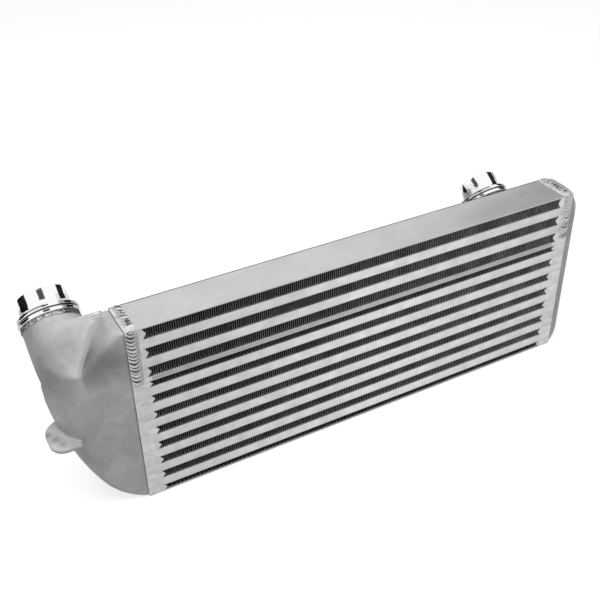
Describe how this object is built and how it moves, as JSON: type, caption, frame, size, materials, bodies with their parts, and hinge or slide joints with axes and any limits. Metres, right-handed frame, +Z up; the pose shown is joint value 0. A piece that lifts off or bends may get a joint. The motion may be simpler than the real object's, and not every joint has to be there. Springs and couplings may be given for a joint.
{
  "type": "intercooler",
  "caption": "Bar-and-plate air-to-air intercooler: a finned core between two cast end tanks, with hose spigots that point up and to the rear.",
  "frame": {"origin": "middle of the core's underside, halfway along the core and halfway between its front and rear faces", "axes": "+X along the core to the end whose tank has its duct behind the core, +Y from the front face to the rear face, +Z up"},
  "size_m": [0.6214, 0.1186, 0.2187],
  "materials": {
    "plates": "satin",
    "bars": "satin",
    "sheets": "satin",
    "fins": "dark satin",
    "turbulators": "satin",
    "castings": "as cast",
    "spigots": "polished",
    "welds": "bright"
  },
  "bodies": {
    "root": {"top_plate": "plates", "bottom_plate": "plates", "parting_sheet_01": "sheets", "parting_sheet_02": "sheets", "parting_sheet_03": "sheets", "parting_sheet_04": "sheets", "parting_sheet_05": "sheets", "parting_sheet_06": "sheets", "parting_sheet_07": "sheets", "parting_sheet_08": "sheets", "parting_sheet_09": "sheets", "parting_sheet_10": "sheets", "parting_sheet_11": "sheets", "parting_sheet_12": "sheets", "parting_sheet_13": "sheets", "parting_sheet_14": "sheets", "parting_sheet_15": "sheets", "parting_sheet_16": "sheets", "parting_sheet_17": "sheets", "parting_sheet_18": "sheets", "parting_sheet_19": "sheets", "parting_sheet_20": "sheets", "cooling_fin_01": "fins", "cooling_fin_02": "fins", "cooling_fin_03": "fins", "cooling_fin_04": "fins", "cooling_fin_05": "fins", "cooling_fin_06": "fins", "cooling_fin_07": "fins", "cooling_fin_08": "fins", "cooling_fin_09": "fins", "cooling_fin_10": "fins", "cooling_fin_11": "fins", "turbulator_01": "turbulators", "turbulator_02": "turbulators", "turbulator_03": "turbulators", "turbulator_04": "turbulators", "turbulator_05": "turbulators", "turbulator_06": "turbulators", "turbulator_07": "turbulators", "turbulator_08": "turbulators", "turbulator_09": "turbulators", "turbulator_10": "turbulators", "front_bars": "bars", "rear_bars": "bars", "left_end_bars": "bars", "right_end_bars": "bars", "left_tank": "castings", "right_tank": "castings", "left_spigot": "spigots", "right_spigot": "spigots", "left_tank_weld": "welds", "right_tank_weld": "welds", "left_spigot_weld": "welds", "right_spigot_weld": "welds"}
  },
  "joints": []
}
